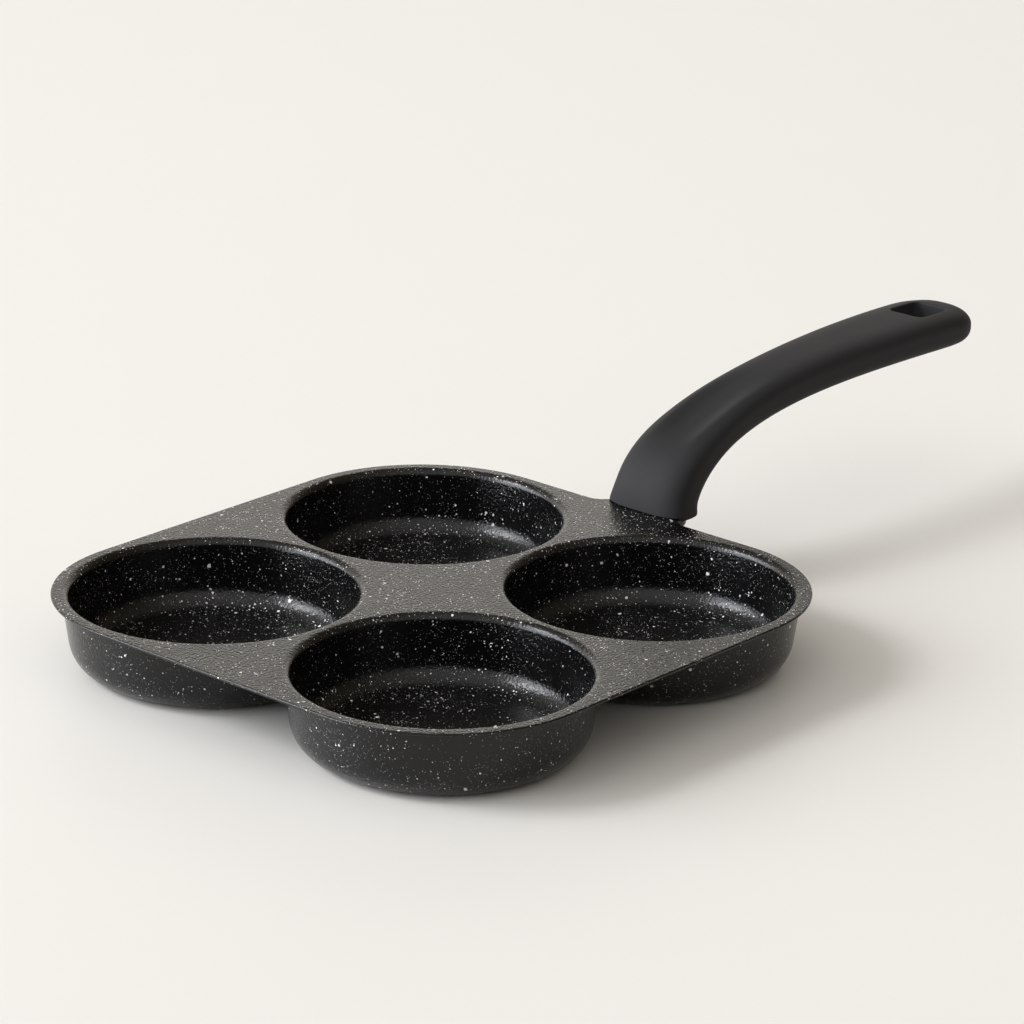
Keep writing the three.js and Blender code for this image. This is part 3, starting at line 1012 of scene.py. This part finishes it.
def paleSurface():
    look = Look("paleWorktop")
    place = look.add("TexCoord")["Object"]
    cloud = look.noise(place, worktop["cloud"])
    grain = look.noise(place, worktop["grain"])
    share = worktop["cloudShare"]
    colour = look.mix(share * cloud + (1 - share) * grain, worktop["dark"], worktop["pale"])
    rough = worktop["roughness"] + worktop["roughnessSpread"] * (cloud - 0.5)
    return look.finish({"Base Color": colour, "Roughness": rough, "IOR": worktop["ior"]})


def layWorktop():
    mesh = bpy.data.meshes.new("worktop")
    shape = bmesh.new()
    bmesh.ops.create_circle(shape, cap_ends=True, segments=worktop["sides"], radius=worktop["radius"])
    shape.to_mesh(mesh)
    shape.free()
    mesh.materials.append(paleSurface())
    top = bpy.data.objects.new("worktop", mesh)
    bpy.context.scene.collection.objects.link(top)


layWorktop()

# the photograph's view
view = {
    "lens": 147.9,
    "sensor": 36,
    "farthest": 20,
    "place": (-0.8977, -0.8218, 0.4581),  # from the middle of the deck
    "heading": math.radians(41.342),
    "down": math.radians(19.582),
    "roll": math.radians(0.962),
}


def setCamera():
    camera = bpy.data.objects.new("camera", bpy.data.cameras.new("camera"))
    camera.data.lens = view["lens"]
    camera.data.sensor_width = view["sensor"]
    camera.data.clip_end = view["farthest"]
    heading = Matrix.Rotation(view["heading"] - quarter, 4, "Z")
    tilt = Matrix.Rotation(quarter - view["down"], 4, "X")
    roll = Matrix.Rotation(view["roll"], 4, "Z")
    place = Matrix.Translation(panOrigin + Vector(view["place"]))
    camera.matrix_world = place @ heading @ tilt @ roll
    bpy.context.scene.collection.objects.link(camera)
    bpy.context.scene.camera = camera


setCamera()

# soft room light: a window and a low bright pane at the left, a wall that glows behind,
# and a room that is pale at the near left, darker at the right and dark low in front
room = {
    # each glow: colour, then its way as left, ahead and up, and the cosines where it starts and is full
    "shade": (0.22, 0.186, 0.138, 1),
    "bright": (1.08, 1.07, 1.05, 1),
    "brightWay": (0.5, -0.65, 0.4),
    "brightSpan": (-0.3, 1.0),
    "front": (0.06, 0.057, 0.051, 1),
    "frontWay": (0, -1, 0),
    "frontSpan": (0.3, 0.8),
    "frontTop": (0.2, 0.42),  # heights between which it fades out
    "wall": (1.40, 1.345, 1.25, 1),
    "wallWay": (0.7, 1, 0),
    "wallSpan": (0.15, 0.8),
    "wallTop": (0.31, 0.52),
    "pane": (6.8, 7.05, 7.4, 1),
    "paneWay": (1, -0.12, 0.16),
    "paneSpan": (0.8, 0.97),
    "aim": (0.02, 0, 0),  # from the pan's origin
    "windowWay": (2.4, -0.25, 1.95),
    "windowSize": (1.0, 0.85),
    "windowPower": 37.0,
    "windowColour": (0.96, 0.98, 1.0),
}
ahead = Vector((math.cos(view["heading"]), math.sin(view["heading"]), 0))
leftward = Vector((-ahead.y, ahead.x, 0))


def inRoom(way):
    return leftward * way[0] + ahead * way[1] + Vector((0, 0, way[2]))


def hangWindow():
    lamp = bpy.data.lights.new("window", "AREA")
    lamp.shape = "RECTANGLE"
    lamp.size, lamp.size_y = room["windowSize"]
    lamp.energy, lamp.color = room["windowPower"], room["windowColour"]
    holder = bpy.data.objects.new("window", lamp)
    aim = panOrigin + Vector(room["aim"])
    holder.location = aim + inRoom(room["windowWay"])
    holder.rotation_euler = (aim - holder.location).to_track_quat("-Z", "Y").to_euler()
    bpy.context.scene.collection.objects.link(holder)


def ramp(sky, value, start, end):
    limits = {"Value": value, "From Min": start, "From Max": end}
    return sky.add("MapRange", {"interpolation_type": "SMOOTHSTEP"}, limits)["Result"]


def glowingRoom():
    world = bpy.data.worlds.new("room")
    bpy.context.scene.world = world
    sky = Look("room", world)
    direction = sky.add("TexCoord")["Generated"]
    height = sky.add("SeparateXYZ", {}, {"Vector": direction})["Z"]

    def towards(name):
        turn = sky.vectors("DOT_PRODUCT", direction, inRoom(room[name + "Way"]).normalized(), "Value")
        return ramp(sky, turn, *room[name + "Span"])

    glow = sky.mix(towards("bright"), room["shade"], room["bright"])
    for name in ("front", "wall"):
        below = 1 - ramp(sky, height, *room[name + "Top"])
        glow = sky.mix(towards(name) * below, glow, room[name])
    glow = sky.mix(towards("pane"), glow, room["pane"])
    surface = sky.add("Background", {}, {"Color": glow})["Background"]
    sky.add("OutputWorld", {}, {"Surface": surface})


hangWindow()
glowingRoom()
bpy.context.scene.view_settings.view_transform = "Standard"
print("worktop, camera and light set")
